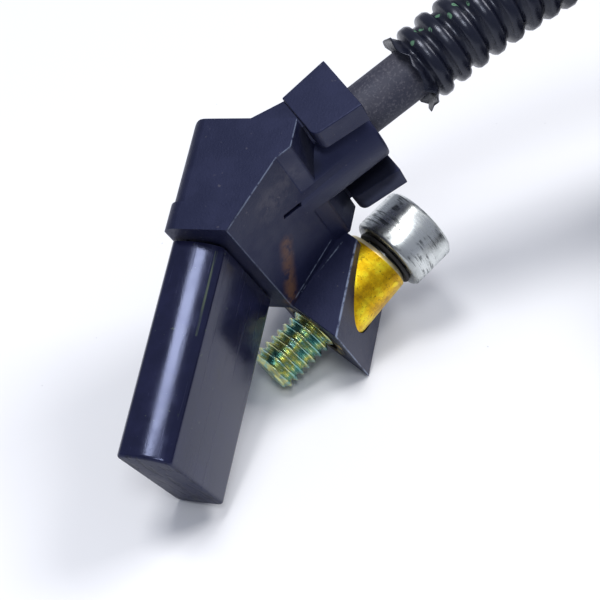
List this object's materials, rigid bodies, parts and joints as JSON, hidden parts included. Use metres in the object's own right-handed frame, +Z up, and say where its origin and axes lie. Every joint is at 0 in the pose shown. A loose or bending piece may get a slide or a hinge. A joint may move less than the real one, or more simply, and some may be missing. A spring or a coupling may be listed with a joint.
{
  "type": "speed sensor",
  "caption": "Engine speed sensor with a flat moulded nose, a forked cable outlet, a bolted fixing lug and a coiled conduit lead.",
  "frame": {"origin": "centre of the sensor's footprint on the table, under the sensor without its lead", "axes": "+Z up from the table the sensor lies on; +Y away from the viewer of the picture, from the nose tip towards the cable outlet"},
  "size_m": [0.1845, 0.1106, 0.0468],
  "materials": {
    "moulded_black": "matt",
    "nose_black": "satin",
    "yellow_zinc": "yellow zinc plated",
    "bright_steel": "satin",
    "rubber": "matt",
    "soft_iron": "satin",
    "spool_plastic": "matt",
    "copper_wire": "satin",
    "magnet_metal": "satin",
    "tinned_brass": "satin",
    "core_brown": "satin",
    "core_blue": "satin",
    "cable_sheath": "matt",
    "conduit_black": "satin",
    "tie_nylon": "satin",
    "connector_black": "matt",
    "lock_red": "satin"
  },
  "bodies": {
    "root": {"nose_capsule": "nose_black", "pole_piece": "soft_iron", "winding_spool": "spool_plastic", "winding": "copper_wire", "magnet": "magnet_metal", "terminal_left": "tinned_brass", "terminal_right": "tinned_brass", "housing": "moulded_black", "mounting_sleeve": "yellow_zinc", "cap_bolt": "bright_steel", "captive_ring": "rubber", "core_signal": "core_brown", "core_return": "core_blue", "cable_sheath": "cable_sheath", "conduit": "conduit_black", "conduit_coil": "conduit_black", "conduit_tail": "conduit_black", "coil_tie_1": "tie_nylon", "coil_tie_2": "tie_nylon", "conduit_boot": "rubber", "connector_shell": "connector_black", "pin_lock": "lock_red", "connector_pin_1": "tinned_brass", "connector_pin_2": "tinned_brass", "connector_pin_3": "tinned_brass"}
  },
  "joints": []
}
